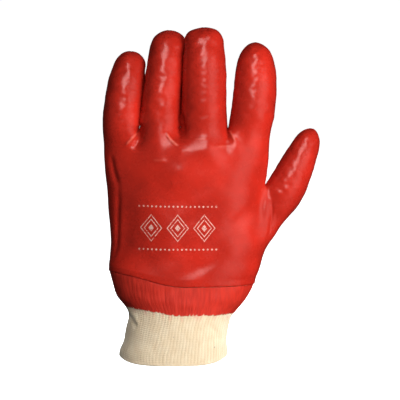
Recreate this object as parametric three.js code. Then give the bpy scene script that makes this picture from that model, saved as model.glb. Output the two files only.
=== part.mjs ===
// A PVC coated work glove for the left hand, in the form that a hand gives it, with the hand left
// out. Millimetres, +Z up. The back of the hand faces -Y, the thumb points to +X and the fingers
// point up. The origin is the middle of the wrist's mouth, where the hand goes in.
//
//   knit_wrist    the cotton rib knit tube, from its hem up to the seam
//   coated_band   the thin dipped coat over the upper part of the knit, with the ribs showing
//   hand_shell    the coated hand: palm, back, four fingers and thumb in one hollow skin
import * as THREE from 'three';

// Heights above the wrist's mouth, and the band's height below the seam. The seam and the coat's
// edge are lowest on the thumb's side, and rise by their slant to the little finger's.
const seamHeight = 61.6;
const seamSlant = 10;
const bandHeight = 22.3;
const coatEdgeSlant = 5;
const forkHeight = 183;
const hemRise = 5; // the hem is higher at its two sides than at front and back

// Walls, gaps and edges.
const handWall = 2.2; // the coat and its cotton lining together
const knitWall = 1.7;
const bandWall = 0.9; // the coat alone
const seamGap = 0.3; // between pieces that meet
const lipOverhang = 0.7; // how far the hand's lower edge stands proud of the band
const lipHeight = 5;
const coatRagged = 0.6; // how far the coat's edge strays up and down

// The knit's ribs run up the tube.
const ribPitch = 2.5;
const ribDepth = 0.45;

// The wrist, outside its knit, and its size at the seam.
const wristWidth = 79.5;
const wristDepth = 52;
const seamWidth = 109;
const seamDepth = 47;
const seamShift = 7; // the seam's middle lies this far towards the thumb

// The hand, outside.
const knuckleShift = 9.7; // the knuckles' middle lies this far towards the thumb
const knuckleDepth = 35;
const knuckleDrop = 4; // the skin turns from the palm to the fingers this far below the forks
const thumbBall = 8; // how far the ball of the thumb stands out of the palm
const forkValley = 15; // how far a fork's groove runs down the back and the palm
const forkDepth = 11; // half the skin's depth in those grooves
const thumbCrease = 7; // depth of the crease between the back and the thumb
const foldDepth = 1.6;

// Digits, outside: length from fork to tip, width across and depth from back to front.
const littleLength = 60;
const littleWidth = 28.7;
const littleDepth = 26;
const ringLength = 76;
const ringWidth = 29.3;
const ringDepth = 27;
const middleLength = 77.5;
const middleWidth = 34.5;
const middleDepth = 29;
const indexLength = 66.5;
const indexWidth = 34;
const indexDepth = 28;
const thumbLength = 97;
const thumbWidth = 30;
const thumbDepth = 27;

// The thumb's centre line starts inside the palm, measured from the middle of its opening.
const thumbSink = 11.5;
const thumbDrop = 21;
const thumbPalmward = 6;

// Each digit leans from the vertical, towards the thumb, and curls to the palm, in degrees.
// knuckle: the width it takes up at the knuckles, as a share of its own. palmward: how far its
// root lies towards the palm, as a share of the knuckles' depth. taper: how much it narrows to
// its tip, as a share of what its sections say.
const DIGITS = [
  {
    length: littleLength, width: littleWidth, depth: littleDepth, knuckle: 1, palmward: 0.15,
    taper: 1.15, rootLean: 4, tipLean: 12, curl: 22,
  },
  {
    length: ringLength, width: ringWidth, depth: ringDepth, knuckle: 1.09, palmward: 0.08,
    taper: 0.75, rootLean: 5, tipLean: 5.8, curl: 19,
  },
  {
    length: middleLength, width: middleWidth, depth: middleDepth, knuckle: 1.07, palmward: 0,
    taper: 0.75, rootLean: 2, tipLean: -1, curl: 10,
  },
  {
    length: indexLength, width: indexWidth, depth: indexDepth, knuckle: 0.99, palmward: 0.03,
    taper: 1.4, rootLean: 15, tipLean: -2, curl: 14,
  },
];
const THUMB = {
  length: thumbLength, width: thumbWidth, depth: thumbDepth,
  knuckle: 1, taper: 1, rootLean: 41, tipLean: 22, curl: 10,
};

// Sections up a digit. along: share of its length. own: how far its width has gone from what it
// takes up at the knuckles to its own. wide, deep: shares of its width and depth.
const FINGER_SECTIONS = [
  { along: 0.1, own: 0.7, wide: 1, deep: 1 },
  { along: 0.32, own: 1, wide: 1, deep: 1 },
  { along: 0.58, own: 1, wide: 0.985, deep: 0.95 },
  { along: 0.8, own: 1, wide: 0.9, deep: 0.87 },
  { along: 0.935, own: 1, wide: 0.72, deep: 0.68 },
];
const THUMB_SECTIONS = [
  { along: 0.4, own: 1, wide: 1.08, deep: 1.04 },
  { along: 0.54, own: 1, wide: 1, deep: 1 },
  { along: 0.7, own: 1, wide: 0.85, deep: 0.9 },
  { along: 0.85, own: 1, wide: 0.74, deep: 0.78 },
  { along: 0.95, own: 1, wide: 0.56, deep: 0.58 },
];

// Rows up the hand, from the lip to the forks. up: share of that height. wide: share of the way
// from the lip's width to the knuckles'. left, right: added there, as shares of the knuckles'
// width. ball, crease: shares of the thumb's ball and of its crease.
const PALM_ROWS = [
  { up: 0, wide: 0, left: 0, right: 0, ball: 0, crease: 0 },
  { up: 0.09, wide: 0.1, left: -0.01, right: 0.03, ball: 0.3, crease: 0 },
  { up: 0.25, wide: 0.3, left: -0.015, right: 0.04, ball: 1, crease: 0.3 },
  { up: 0.44, wide: 0.5, left: -0.01, right: 0.03, ball: 0.9, crease: 1 },
  { up: 0.63, wide: 0.65, left: 0, right: 0.01, ball: 0.4, crease: 0.9 },
  { up: 0.82, wide: 0.82, left: 0.005, right: 0.01, ball: 0, crease: 0.1 },
];
const thumbRow = 3; // the row through the middle of the thumb's opening, one row high each way

// Soft hollows in the back of the hand. across, up: its middle, on the knuckles' width and the
// height from seam to forks. long, wide: its half sizes, as shares of the knuckles' width. turned:
// from the vertical towards the thumb, in degrees. deep: share of foldDepth.
const FOLDS = [
  { across: -0.72, up: 0.26, long: 0.17, wide: 0.05, turned: 4, deep: 0.8 },
  { across: -0.1, up: 0.8, long: 0.1, wide: 0.06, turned: -8, deep: 0.9 },
  { across: 0.46, up: 0.78, long: 0.1, wide: 0.07, turned: 10, deep: 1 },
  { across: 0.58, up: 0.4, long: 0.2, wide: 0.055, turned: 48, deep: 1 },
  { across: 0.2, up: 0.14, long: 0.16, wide: 0.05, turned: 62, deep: 0.8 },
  { across: -0.25, up: 0.55, long: 0.14, wide: 0.09, turned: -60, deep: 0.6 },
];

// Sections up the wrist. up: share of the seam's height. grown, shift: shares of the way from the
// wrist's size and place to the seam's.
const WRIST_SECTIONS = [
  { up: 0, grown: 0.12, shift: -0.15 },
  { up: 0.14, grown: 0.14, shift: -0.1 },
  { up: 0.28, grown: 0.02, shift: 0.15 },
  { up: 0.44, grown: 0, shift: 0.4 },
  { up: 0.58, grown: 0.02, shift: 0.7 },
  { up: 0.67, grown: 0.18, shift: 0.9 },
  { up: 0.81, grown: 0.6, shift: 0.9 },
  { up: 0.95, grown: 0.88, shift: 1 },
  { up: 1.15, grown: 1.08, shift: 1 },
];
const knitRows = 7;
const bandRows = 3;

// The outlines across are rounded oblongs: a power of 2 is an ellipse, and more is squarer.
const wristSquareness = 2.15;
const palmSquareness = 2.6;
const hemSquareness = 5;

const cottonFinish = { color: 0xe6d6bc, roughness: 0.95 };
const dullCoatFinish = { color: 0xb8382c, roughness: 0.6 };
const glossCoatFinish = { color: 0xcc2c20, roughness: 0.3 };

// Places across the glove, from -1 at the little finger's side to 1 at the thumb's.
const slantPlaces = { from: -1, to: 0 }; // the seam and the coat's edge fall between these
const ballPlaces = { from: -0.6, to: 0.8 }; // the thumb's ball rises between these
const sideEdge = 0.95; // where the back and the palm turn into the hand's two edges

const { lerp, degToRad, smoothstep, clamp } = THREE.MathUtils;
const tau = 2 * Math.PI;

// Smoothing draws a digit's rings in to this share of their radius, and its tip to this share of
// its height above the last ring.
const digitSides = 8;
const ringReach = (2 + Math.cos(tau / digitSides)) / 3;
const tipReach = 4 / 9;
const leanSteps = 24;

const walkSteps = 20; // between two ribs, to measure round the wrist

const lipOut = seamGap + bandWall + lipOverhang; // the lip stands this far out of the knit
const knuckleWidth = DIGITS.reduce((sum, { width, knuckle }) => sum + width * knuckle, 0);

const power = (value, exponent) => Math.sign(value) * Math.abs(value) ** exponent;

// Heights at a place across the glove.
const slant = (across) => 1 - smoothstep(across, slantPlaces.from, slantPlaces.to);
const seamAt = (across) => seamHeight + seamSlant * slant(across);
const coatEdgeAt = (across) => seamHeight - bandHeight + coatEdgeSlant * slant(across);
const hemAt = (across) => hemRise * Math.abs(across) ** hemSquareness;

// A mesh keeps its points in one list and its faces, of three or four points, in another.
const newMesh = () => ({ points: [], faces: [] });
const addPoint = (mesh, point) => mesh.points.push(point) - 1;
const addRing = (mesh, points) => points.map((point) => addPoint(mesh, point));

function mean(points) {
  const sum = points.reduce((total, p) => total.add(p), new THREE.Vector3());
  return sum.divideScalar(points.length);
}

// Joins two rings of as many points with quads, except where skip says so.
function joinRings(mesh, lower, upper, skip = () => false) {
  lower.forEach((point, k) => {
    const next = (k + 1) % lower.length;
    if (!skip(k)) mesh.faces.push([point, lower[next], upper[next], upper[k]]);
  });
}

// Joins two rings that start on the same side and may differ in count, with triangles.
function zipRings(mesh, lower, upper) {
  const at = (ring, k) => ring[k % ring.length];
  const reach = (i, j) => mesh.points[at(lower, i)].distanceTo(mesh.points[at(upper, j)]);
  let i = 0;
  let j = 0;
  while (i < lower.length || j < upper.length) {
    const isLowNear = i < lower.length && reach(i + 1, j) <= reach(i, j + 1);
    if (j === upper.length || isLowNear) {
      mesh.faces.push([at(lower, i), at(lower, i + 1), at(upper, j)]);
      i += 1;
    } else {
      mesh.faces.push([at(lower, i), at(upper, j + 1), at(upper, j)]);
      j += 1;
    }
  }
}

// A smooth course through one column of a table whose rows go up by their column "up".
function course(rows, up, name) {
  const found = rows.findIndex((row) => row.up >= up);
  const next = found < 0 ? rows.length - 1 : Math.max(found, 1);
  const [before, low, high, after] = [-2, -1, 0, 1].map(
    (step) => rows[clamp(next + step, 0, rows.length - 1)],
  );
  const height = high.up - low.up;
  const t = clamp((up - low.up) / height, 0, 1);
  const slope = (p, q) => ((q[name] - p[name]) / (q.up - p.up)) * height;
  const [leave, arrive] = [slope(before, high), slope(low, after)];
  const rise = high[name] - low[name];
  return low[name] + leave * t + (3 * rise - 2 * leave - arrive) * t ** 2
    + (leave + arrive - 2 * rise) * t ** 3;
}

// The wrist's outline at a height, grown by a distance: its half sizes and its middle.
function wristOutline(z, out) {
  const grown = course(WRIST_SECTIONS, z / seamHeight, 'grown');
  return {
    halfWidth: lerp(wristWidth, seamWidth, grown) / 2 + out,
    halfDepth: lerp(wristDepth, seamDepth, grown) / 2 + out,
    middle: seamShift * course(WRIST_SECTIONS, z / seamHeight, 'shift'),
  };
}

// The place across the glove that belongs to a turn round the wrist.
const acrossAt = (turn) => power(Math.cos(turn), 2 / wristSquareness);

function wristPoint(turn, z, out) {
  const { halfWidth, halfDepth, middle } = wristOutline(z, out);
  const x = middle + halfWidth * acrossAt(turn);
  return new THREE.Vector3(x, halfDepth * power(Math.sin(turn), 2 / wristSquareness), z);
}

// Turns round the wrist, from the little finger's side, that part its outline in equal lengths.
function evenTurns(count) {
  const fine = walkSteps * count;
  const walk = [0];
  const at = (i) => wristPoint(Math.PI + (tau * i) / fine, seamHeight / 2, 0);
  for (let i = 1; i <= fine; i += 1) walk.push(walk[i - 1] + at(i).distanceTo(at(i - 1)));
  return Array.from({ length: count }, (_, k) => {
    const i = walk.findIndex((length) => length >= (walk[fine] * k) / count);
    return Math.PI + (tau * i) / fine;
  });
}

const wristRound = tau * Math.hypot(wristWidth / 2, wristDepth / 2) * Math.SQRT1_2;
const ribCount = Math.round(wristRound / ribPitch);
const ribTurns = evenTurns(ribCount);
const ribSideTurns = evenTurns(2 * ribCount); // crests and valleys by turns

// A tube closed into one body: up its ribbed outside and down its smooth inside. heightAt gives
// the height for a share of the way up, a turn and that turn's number.
function tube(rows, heightAt, outside, inside, ribs) {
  const mesh = newMesh();
  const outer = [];
  const inner = [];
  for (let j = 0; j <= rows; j += 1) {
    const point = (turn, k, out) => wristPoint(turn, heightAt(j / rows, turn, k), out);
    const ribbed = ribSideTurns.map((turn, k) => point(turn, k, outside - (k % 2) * ribs));
    outer.push(addRing(mesh, ribbed));
    inner.unshift(addRing(mesh, ribTurns.map((turn, k) => point(turn, 2 * k, inside))));
  }
  const loop = [...outer, ...inner, outer[0]];
  loop.slice(1).forEach((ring, j) => {
    const join = ring.length === loop[j].length ? joinRings : zipRings;
    join(mesh, loop[j], ring);
  });
  return mesh;
}

function knitWrist() {
  const heightAt = (share, turn) => {
    const across = acrossAt(turn);
    return lerp(hemAt(across), seamAt(across) - seamGap, share);
  };
  return tube(knitRows, heightAt, 0, -knitWall, ribDepth);
}

function coatedBand() {
  const heightAt = (share, turn, k) => {
    const across = acrossAt(turn);
    const edge = coatEdgeAt(across) + coatRagged * Math.sin(k * k);
    return lerp(edge, seamAt(across) - seamGap, share);
  };
  return tube(bandRows, heightAt, seamGap + bandWall, seamGap, ribDepth);
}

// The centre line of a digit, and its two directions across, at a share of its length.
function digitFrame(digit, root, along) {
  const centre = root.clone();
  const heading = new THREE.Vector3();
  const step = along / leanSteps;
  let lean;
  for (let i = 0; i <= leanSteps; i += 1) {
    const gone = step * i;
    lean = degToRad(lerp(digit.tipLean, digit.rootLean, (1 - gone) ** 2));
    const curl = degToRad(digit.curl * gone);
    heading.set(Math.sin(lean) * Math.cos(curl), Math.sin(curl), Math.cos(lean) * Math.cos(curl));
    if (i < leanSteps) centre.addScaledVector(heading, digit.length * step);
  }
  const across = new THREE.Vector3(Math.cos(lean), 0, -Math.sin(lean));
  return { centre, across, palmward: heading.cross(across) };
}

// The rings of a digit above its root ring, and the four quads that close its tip.
function addDigit(mesh, digit, root, rootRing, sections) {
  let below = rootRing;
  sections.forEach(({ along, own, wide, deep }) => {
    const { centre, across, palmward } = digitFrame(digit, root, along);
    const tapered = 1 - (1 - wide) * digit.taper;
    const halfWidth = (digit.width * tapered * lerp(digit.knuckle, 1, own)) / 2 / ringReach;
    const halfDepth = (digit.depth * deep) / 2 / ringReach;
    const ring = Array.from({ length: digitSides }, (_, k) => {
      const angle = Math.PI + (tau * k) / digitSides;
      return centre
        .clone()
        .addScaledVector(across, halfWidth * Math.cos(angle))
        .addScaledVector(palmward, halfDepth * Math.sin(angle));
    });
    const above = addRing(mesh, ring);
    joinRings(mesh, below, above);
    below = above;
  });
  const last = sections[sections.length - 1].along;
  const tip = addPoint(mesh, digitFrame(digit, root, last + (1 - last) / tipReach).centre);
  for (let k = 0; k < digitSides; k += 2) {
    mesh.faces.push([tip, below[k], below[k + 1], below[(k + 2) % digitSides]]);
  }
}

// Places round the hand: its little finger's edge, the back, its thumb's edge and the palm. The
// back has an edge, each finger's middle and each fork, and so has the palm.
function placesRound() {
  const [first, last] = [DIGITS[0], DIGITS[DIGITS.length - 1]].map(({ palmward }) => palmward);
  const middles = [];
  const forks = [];
  let fork = -1;
  DIGITS.forEach(({ width, knuckle, palmward }, i) => {
    const share = (2 * width * knuckle) / knuckleWidth;
    middles.push({ across: fork + share / 2, palmward });
    fork += share;
    const next = DIGITS[i + 1];
    if (next) forks.push({ across: fork, palmward: (palmward + next.palmward) / 2, isFork: true });
  });
  const places = middles.flatMap((middle, i) => (i ? [forks[i - 1], middle] : [middle]));
  places.unshift({ across: -sideEdge, palmward: first });
  places.push({ across: sideEdge, palmward: last });
  return [
    { across: -1, facing: 0, palmward: first },
    ...places.map((place) => ({ ...place, facing: -1 })),
    { across: 1, facing: 0, palmward: last },
    ...[...places].reverse().map((place) => ({ ...place, facing: 1 })),
  ];
}

// The hand's half depth at a place across it, as a share of its middle's.
const depthAcross = (across, squareness) =>
  Math.max(0, 1 - Math.abs(across) ** squareness) ** (1 / squareness);

// The coarse net of the whole hand, which smoothing turns into its skin.
function handNet() {
  const mesh = newMesh();
  const round = placesRound();
  const knuckles = { halfWidth: knuckleWidth / 2, halfDepth: knuckleDepth / 2 };

  const rows = PALM_ROWS.map(({ up, wide, left, right, ball, crease }) => {
    const ring = round.map(({ across, facing, palmward }) => {
      const bottom = seamAt(across) + lipHeight;
      const lip = wristOutline(bottom, lipOut);
      const spread = across < 0 ? -left : right;
      const halfWidth = lerp(lip.halfWidth, knuckles.halfWidth, wide) * Math.abs(across);
      const halfDepth = lerp(lip.halfDepth, knuckles.halfDepth, up);
      const squareness = lerp(wristSquareness, palmSquareness, up);
      const rise = smoothstep(across, ballPlaces.from, ballPlaces.to);
      const swell = facing > 0 ? thumbBall * ball * rise : 0;
      const sunk = facing < 0 && across === sideEdge ? thumbCrease * crease : 0;
      const x = lerp(lip.middle, knuckleShift, up) + Math.sign(across) * halfWidth;
      const y = facing * halfDepth * depthAcross(across, squareness) + swell + sunk;
      const z = lerp(bottom, forkHeight, up);
      return new THREE.Vector3(x + spread * knuckleWidth, y + palmward * knuckleDepth * up, z);
    });
    return addRing(mesh, ring);
  });

  // The knuckles: each fork's groove dips and runs down on the back and the palm.
  const knuckleX = (across) => knuckleShift + knuckles.halfWidth * across;
  const knuckleRing = round.map(({ across, facing, palmward, isFork }) => {
    const halfDepth = isFork ? forkDepth : knuckles.halfDepth * depthAcross(across, palmSquareness);
    const drop = isFork ? forkValley : knuckleDrop;
    const y = facing * halfDepth + palmward * knuckleDepth;
    return new THREE.Vector3(knuckleX(across), y, forkHeight - drop);
  });
  rows.push(addRing(mesh, knuckleRing));

  const thumbEdge = round.findIndex(({ across }) => across === 1);
  rows.slice(1).forEach((row, j) => {
    const isOpening = j === thumbRow - 1 || j === thumbRow;
    joinRings(mesh, rows[j], row, (k) => isOpening && (k === thumbEdge - 1 || k === thumbEdge));
  });

  // Two fingers that are neighbours share the point in the fork between them.
  const knuckleRow = rows[rows.length - 1];
  let fork = knuckleRow[0];
  DIGITS.forEach((digit, i) => {
    const left = 2 * i + 1;
    const isLast = i === DIGITS.length - 1;
    const place = round[left + 2];
    const web = new THREE.Vector3(knuckleX(place.across), place.palmward * knuckleDepth, forkHeight);
    const nextFork = isLast ? knuckleRow[thumbEdge] : addPoint(mesh, web);
    const back = [left, left + 1, left + 2].map((k) => knuckleRow[k]);
    const palm = [left + 2, left + 1, left].map((k) => knuckleRow[round.length - k]);
    const rootY = digit.palmward * knuckleDepth;
    const root = new THREE.Vector3(knuckleX(round[left + 1].across), rootY, forkHeight);
    addDigit(mesh, digit, root, [fork, ...back, nextFork, ...palm], FINGER_SECTIONS);
    fork = nextFork;
  });

  const [lower, middle, upper] = [-1, 0, 1].map((step) => rows[thumbRow + step]);
  const e = thumbEdge;
  const thumbRing = [
    upper[e], upper[e - 1], middle[e - 1], lower[e - 1],
    lower[e], lower[e + 1], middle[e + 1], upper[e + 1],
  ];
  const thumbRoot = mesh.points[middle[e]].clone();
  thumbRoot.add(new THREE.Vector3(-thumbSink, thumbPalmward, -thumbDrop));
  addDigit(mesh, THUMB, thumbRoot, thumbRing, THUMB_SECTIONS);
  return withoutSpares(mesh);
}

// The same mesh without the points that no face uses.
function withoutSpares({ points, faces }) {
  const used = [...new Set(faces.flat())].sort((a, b) => a - b);
  const place = new Map(used.map((i, j) => [i, j]));
  return {
    points: used.map((i) => points[i]),
    faces: faces.map((face) => face.map((i) => place.get(i))),
  };
}

// The edges of a mesh with the faces beside them, and what meets at each of its points.
function topology({ points, faces }) {
  const edges = new Map();
  const around = points.map(() => ({ faces: [], edges: [], opposite: [] }));
  faces.forEach((face, f) => {
    face.forEach((a, i) => {
      const b = face[(i + 1) % 4];
      const key = edgeKey(a, b);
      if (!edges.has(key)) {
        edges.set(key, { ends: [a, b], faces: [] });
        around[a].edges.push(key);
        around[b].edges.push(key);
      }
      edges.get(key).faces.push(f);
      around[a].faces.push(f);
      around[a].opposite.push(face[(i + 2) % 4]);
    });
  });
  return { edges, around };
}

const edgeKey = (a, b) => `${Math.min(a, b)} ${Math.max(a, b)}`;
const isOpen = (edge) => edge.faces.length === 1;

// One step of Catmull-Clark smoothing, which cuts each quad in four. An open edge stays an edge.
function smooth(mesh) {
  const { points, faces } = mesh;
  const { edges, around } = topology(mesh);
  const centres = faces.map((face) => mean(face.map((i) => points[i])));
  const middle = ({ ends }) => mean(ends.map((i) => points[i]));
  const made = points.map((p, i) => {
    const beside = around[i].edges.map((key) => edges.get(key));
    const open = beside.filter(isOpen);
    if (open.length) return mean([p, p, ...open.map(middle)]);
    const n = beside.length;
    const face = mean(around[i].faces.map((f) => centres[f]));
    const edge = mean(beside.map(middle));
    return face.addScaledVector(edge, 2).addScaledVector(p, n - 3).divideScalar(n);
  });
  const edgePoint = new Map();
  edges.forEach((edge, key) => {
    const ends = edge.ends.map((i) => points[i]);
    const sides = edge.faces.map((f) => centres[f]);
    edgePoint.set(key, made.push(mean(isOpen(edge) ? ends : [...ends, ...sides])) - 1);
  });
  const facePoint = centres.map((p) => made.push(p) - 1);
  const cut = faces.flatMap((face, f) =>
    face.map((a, i) => [
      a,
      edgePoint.get(edgeKey(a, face[(i + 1) % 4])),
      facePoint[f],
      edgePoint.get(edgeKey(face[(i + 3) % 4], a)),
    ]),
  );
  return { points: made, faces: cut };
}

// Moves each point to where endless smoothing would take it.
function settle(mesh) {
  const { points, faces } = mesh;
  const { edges, around } = topology(mesh);
  const settled = points.map((p, i) => {
    const beside = around[i].edges.map((key) => edges.get(key));
    const other = ({ ends }) => points[ends[0] === i ? ends[1] : ends[0]];
    const open = beside.filter(isOpen);
    if (open.length) return mean([p, p, p, p, ...open.map(other)]);
    const n = beside.length;
    const sum = p.clone().multiplyScalar(n * n);
    beside.forEach((edge) => sum.addScaledVector(other(edge), 4));
    around[i].opposite.forEach((j) => sum.add(points[j]));
    return sum.divideScalar(n * (n + 5));
  });
  return { points: settled, faces };
}

// Outward directions at the points of a mesh of quads.
function normals({ points, faces }) {
  const made = points.map(() => new THREE.Vector3());
  faces.forEach((face) => {
    const [a, b, c, d] = face.map((i) => points[i]);
    const normal = c.clone().sub(a).cross(d.clone().sub(b)).normalize();
    face.forEach((i) => made[i].add(normal));
  });
  return made.map((normal) => normal.normalize());
}

// The open edge of a mesh as a ring, from the little finger's side.
function openRing(mesh) {
  const { edges } = topology(mesh);
  const after = new Map([...edges.values()].filter(isOpen).map(({ ends }) => ends));
  const start = [...after.keys()].reduce((a, b) => (mesh.points[b].x < mesh.points[a].x ? b : a));
  const ring = [start];
  while (after.get(ring[ring.length - 1]) !== start) ring.push(after.get(ring[ring.length - 1]));
  return ring;
}

// Moves a point in plan onto the wrist's outline, grown by a distance.
function ontoWrist(point, out) {
  const { halfWidth, halfDepth, middle } = wristOutline(point.z, out);
  const x = power((point.x - middle) / halfWidth, wristSquareness / 2);
  const y = power(point.y / halfDepth, wristSquareness / 2);
  return wristPoint(Math.atan2(y, x), point.z, out);
}

// Presses the soft hollows into the back of the hand.
function pressFolds(points) {
  FOLDS.forEach(({ across, up, long, wide, turned, deep }) => {
    const x = knuckleShift + (knuckleWidth / 2) * across;
    const z = lerp(seamAt(across), forkHeight, up);
    const [sin, cos] = [Math.sin(degToRad(turned)), Math.cos(degToRad(turned))];
    points
      .filter((p) => p.y < 0 && p.z < forkHeight)
      .forEach((p) => {
        const along = ((p.x - x) * sin + (p.z - z) * cos) / (long * knuckleWidth);
        const aside = ((p.x - x) * cos - (p.z - z) * sin) / (wide * knuckleWidth);
        p.y += deep * foldDepth * Math.exp(-(along ** 2) - aside ** 2);
      });
  });
}

// The hand's skin: the smoothed net, the same a wall inside it, and the lip that joins the two.
function handShell() {
  const net = settle(smooth(handNet()));
  pressFolds(net.points);
  const open = openRing(net);
  open.forEach((i) => net.points[i].copy(ontoWrist(net.points[i], lipOut)));
  const inward = normals(net);
  const inside = net.points.map((p, i) => p.clone().addScaledVector(inward[i], -handWall));
  open.forEach((i) => inside[i].copy(ontoWrist(net.points[i], lipOut - handWall)));

  const count = net.points.length;
  const insideFaces = net.faces.map((face) => face.map((i) => i + count).reverse());
  const mesh = { points: [...net.points, ...inside], faces: [...net.faces, ...insideFaces] };
  const lip = (out) =>
    addRing(mesh, ribTurns.map((turn) => wristPoint(turn, seamAt(acrossAt(turn)), out)));
  const [lipOuter, lipInner] = [lip(lipOut), lip(-knitWall)];
  zipRings(mesh, lipOuter, open);
  zipRings(mesh, open.map((i) => i + count), lipInner);
  joinRings(mesh, lipInner, lipOuter);
  return mesh;
}

function toMesh(name, { points, faces }, finish) {
  const reach = (a, b) => points[a].distanceTo(points[b]);
  const corners = faces.flatMap(([a, b, c, d]) => {
    if (d === undefined) return [a, b, c];
    return reach(a, c) <= reach(b, d) ? [a, b, c, a, c, d] : [a, b, d, b, c, d];
  });
  const geometry = new THREE.BufferGeometry().setFromPoints(points);
  geometry.setIndex(corners);
  geometry.computeVertexNormals();
  const material = new THREE.MeshStandardMaterial({ ...finish, metalness: 0 });
  const mesh = new THREE.Mesh(geometry, material);
  mesh.name = name;
  return mesh;
}

const glove = new THREE.Group();
glove.add(toMesh('knit_wrist', knitWrist(), cottonFinish));
glove.add(toMesh('coated_band', coatedBand(), dullCoatFinish));
glove.add(toMesh('hand_shell', handShell(), glossCoatFinish));

export default glove;
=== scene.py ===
"""A PVC coated work glove for the left hand, in the form that a hand gives it.

Shapes are worked out in millimetres, in the part's own frame: +Z up to the fingertips, the thumb to
+X, the back of the hand to -Y, and the origin in the middle of the wrist's mouth. A mesh is turned
into metres when it is made. The sizes and tables of the form are those of the part, and what is
finer than them is added here: stitches, ripples, creases, the ragged edge of the coat.
"""

import math

import bpy
import numpy as np
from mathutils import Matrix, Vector


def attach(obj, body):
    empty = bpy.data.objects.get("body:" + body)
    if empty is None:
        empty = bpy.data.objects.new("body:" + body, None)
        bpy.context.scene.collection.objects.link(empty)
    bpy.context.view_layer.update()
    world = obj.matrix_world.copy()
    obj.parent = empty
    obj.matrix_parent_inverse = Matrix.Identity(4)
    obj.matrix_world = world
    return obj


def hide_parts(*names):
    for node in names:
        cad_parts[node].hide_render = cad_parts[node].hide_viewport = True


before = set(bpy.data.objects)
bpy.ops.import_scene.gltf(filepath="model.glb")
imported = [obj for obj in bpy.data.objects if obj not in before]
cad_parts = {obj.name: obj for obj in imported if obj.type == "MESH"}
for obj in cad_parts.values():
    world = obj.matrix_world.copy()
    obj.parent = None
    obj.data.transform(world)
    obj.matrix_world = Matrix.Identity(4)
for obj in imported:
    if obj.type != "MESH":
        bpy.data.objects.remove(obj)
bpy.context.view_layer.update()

METRES = 0.001
TAU = 2 * math.pi

# The part's sizes. Those that end in slant, rise, shift, drop or sink are distances too.
seam_height = 61.6
seam_slant = 10
band_height = 22.3
coat_edge_slant = 5
fork_height = 183
hem_rise = 5
hand_wall = 2.2
knit_wall = 1.7
band_wall = 0.9
seam_gap = 0.3
lip_overhang = 0.7
lip_height = 5
rib_pitch = 2.5
rib_depth = 0.45
wrist_width = 79.5
wrist_depth = 52
seam_width = 109
seam_depth = 47
seam_shift = 7
knuckle_shift = 9.7
knuckle_depth = 35
knuckle_drop = 4
thumb_ball = 8
fork_valley = 15
fork_depth = 11
thumb_crease = 7
fold_depth = 1.6
thumb_sink = 11.5
thumb_drop = 21
thumb_palmward = 6
lip_out = seam_gap + band_wall + lip_overhang

# Digits from the little finger to the thumb, a column each. Widths at the knuckle are shares of
# the own width, places towards the palm are shares of the knuckles' depth, leans and curl degrees.
DIGIT_SIZES = {
    "length": (60, 76, 77.5, 66.5, 97),
    "width": (28.7, 29.3, 34.5, 34, 30),
    "depth": (26, 27, 29, 28, 27),
    "knuckle": (1, 1.09, 1.07, 0.99, 1),
    "palmward": (0.15, 0.08, 0, 0.03, 0),
    "taper": (1.15, 0.75, 0.75, 1.4, 1),
    "root_lean": (4, 5, 2, 15, 41),
    "tip_lean": (12, 5.8, -1, -2, 22),
    "curl": (22, 19, 10, 14, 10),
}
DIGITS = [dict(zip(DIGIT_SIZES, sizes)) for sizes in zip(*DIGIT_SIZES.values())]
*FINGERS, THUMB = DIGITS
knuckle_width = sum(finger["width"] * finger["knuckle"] for finger in FINGERS)

# Sections up a digit: along, own, wide, deep.
FINGER_SECTIONS = [
    (0.1, 0.7, 1, 1),
    (0.32, 1, 1, 1),
    (0.58, 1, 0.985, 0.95),
    (0.8, 1, 0.9, 0.87),
    (0.935, 1, 0.72, 0.68),
]
THUMB_SECTIONS = [
    (0.4, 1, 1.08, 1.04),
    (0.54, 1, 1, 1),
    (0.7, 1, 0.85, 0.9),
    (0.85, 1, 0.74, 0.78),
    (0.95, 1, 0.56, 0.58),
]

# Rows up the hand: up, wide, left, right, ball, crease.
PALM_ROWS = [
    (0, 0, 0, 0, 0, 0),
    (0.09, 0.1, -0.01, 0.03, 0.3, 0),
    (0.25, 0.3, -0.015, 0.04, 1, 0.3),
    (0.44, 0.5, -0.01, 0.03, 0.9, 1),
    (0.63, 0.65, 0, 0.01, 0.4, 0.9),
    (0.82, 0.82, 0.005, 0.01, 0, 0.1),
]
thumb_row = 3

# Soft hollows in the back of the hand: across, up, long, wide, turned, deep.
FOLDS = [
    (-0.72, 0.26, 0.17, 0.05, 4, 0.8),
    (-0.1, 0.8, 0.1, 0.06, -8, 0.4),
    (0.46, 0.78, 0.1, 0.07, 10, 0.6),
    (0.58, 0.4, 0.2, 0.055, 48, 1),
    (0.2, 0.14, 0.16, 0.05, 62, 0.8),
    (-0.25, 0.55, 0.14, 0.09, -60, 0.6),
]

# Sections up the wrist, a column each.
WRIST_SECTIONS = {
    "up": (0, 0.14, 0.28, 0.44, 0.58, 0.67, 0.81, 0.95, 1.15),
    "grown": (0.12, 0.14, 0.02, 0, 0.02, 0.18, 0.6, 0.88, 1.08),
    "shift": (-0.15, -0.1, 0.15, 0.4, 0.7, 0.9, 0.9, 1, 1),
}

wrist_squareness = 2.15
palm_squareness = 2.6
hem_squareness = 5
slant_from, slant_to = -1, 0
ball_from, ball_to = -0.6, 0.8
side_edge = 0.95
digit_sides = 8
ring_reach = (2 + math.cos(TAU / digit_sides)) / 3
tip_reach = 4 / 9
lean_steps = 24
shortest_normal = 1e-9
walk_steps = 20

# How often the hand's coarse net is made finer for its outside and for its lining.
OUTSIDE_LEVELS = 4
INSIDE_LEVELS = 2

# A random field: how many waves are laid over each other, and what brings them to about -1 to 1.
wave_count = 14
wave_peak = 1.6

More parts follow.
